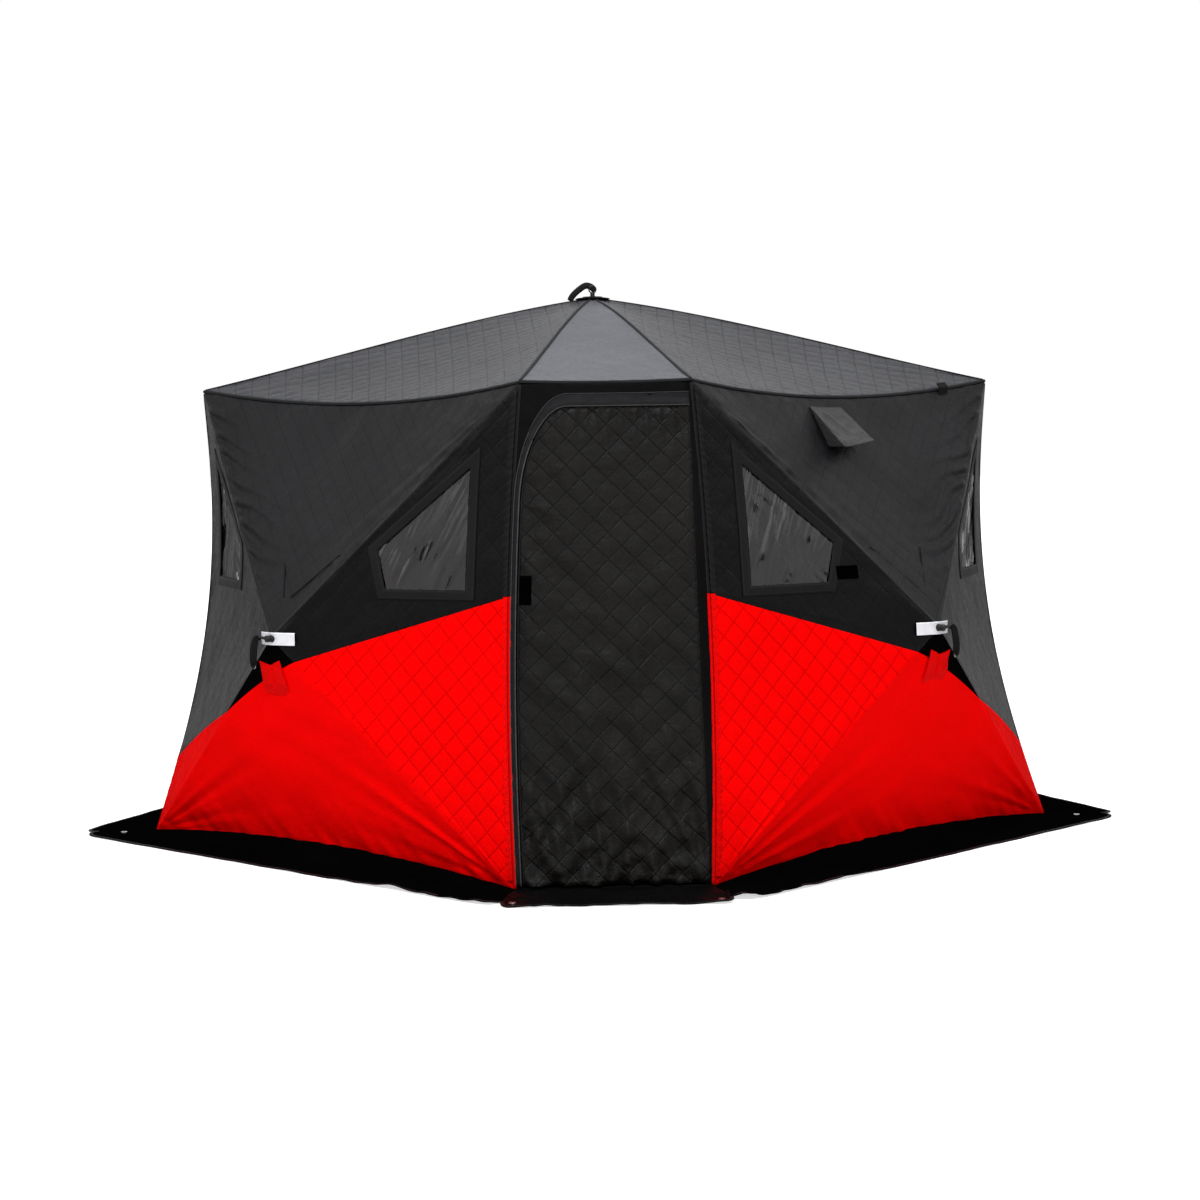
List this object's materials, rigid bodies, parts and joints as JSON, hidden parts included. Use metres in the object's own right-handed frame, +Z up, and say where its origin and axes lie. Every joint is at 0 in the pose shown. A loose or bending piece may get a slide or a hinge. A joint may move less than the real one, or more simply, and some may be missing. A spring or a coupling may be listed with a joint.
{
  "type": "pop-up ice fishing hut",
  "caption": "Pop-up fabric ice fishing hut with hub-braced walls, a low pyramid roof, clear windows, a quilted swing-out door flap, a vent hood and a ground skirt.",
  "frame": {"origin": "on the ground under the middle of the skirt's bounding box", "axes": "+Z up, -Y out through the door, +X to the right of someone facing the door from outside"},
  "size_m": [4.396, 4.0664, 2.2696],
  "materials": {
    "black_quilt": "matte quilted",
    "red_quilt": "matte quilted",
    "roof_quilt": "soft sheen, quilted",
    "skirt_fabric": "matte",
    "hood_fabric": "matte",
    "clear_vinyl": "clear, slightly wavy",
    "pole_fibreglass": "satin",
    "black_plastic": "matte",
    "ring_steel": "bright",
    "eyelet_metal": "bright",
    "webbing": "woven",
    "reflective": "silvery"
  },
  "bodies": {
    "shelter": {"upper_wall_right_front": "black_quilt", "upper_wall_right_rear": "black_quilt", "upper_wall_rear": "black_quilt", "upper_wall_left_rear": "black_quilt", "upper_wall_left_front": "black_quilt", "lower_wall_right_front": "red_quilt", "lower_wall_right_rear": "red_quilt", "lower_wall_rear": "red_quilt", "lower_wall_left_rear": "red_quilt", "lower_wall_left_front": "red_quilt", "windows_right_front": "clear_vinyl", "windows_right_rear": "clear_vinyl", "windows_rear": "clear_vinyl", "windows_left_rear": "clear_vinyl", "windows_left_front": "clear_vinyl", "poles_right_front": "pole_fibreglass", "poles_right_rear": "pole_fibreglass", "poles_rear": "pole_fibreglass", "poles_left_rear": "pole_fibreglass", "poles_left_front": "pole_fibreglass", "roof_front": "roof_quilt", "roof_right_front": "roof_quilt", "roof_right_rear": "roof_quilt", "roof_rear": "roof_quilt", "roof_left_rear": "roof_quilt", "roof_left_front": "roof_quilt", "roof_poles": "pole_fibreglass", "roof_hub": "black_plastic", "roof_cap": "black_plastic", "roof_ring": "ring_steel", "roof_strap": "webbing", "wall_hubs": "black_plastic", "eave_sockets": "black_plastic", "base_feet": "black_plastic", "reflective_strips": "reflective", "pull_straps": "webbing", "hub_tabs": "red_quilt", "wall_skirts": "skirt_fabric", "door_skirt": "skirt_fabric", "skirt_eyelets": "eyelet_metal", "door_surround": "black_quilt", "storm_flap": "black_quilt", "vent_hood": "hood_fabric"},
    "door": {"door_leaf": "black_quilt"}
  },
  "joints": [
    {"name": "door_hinge", "type": "hinge", "parent": "shelter", "child": "door", "pos_m": [0.32617, -1.58571, 0.915], "axis": [-0.0242, 0.1261, 0.9917], "range_deg": [0, 150]}
  ]
}
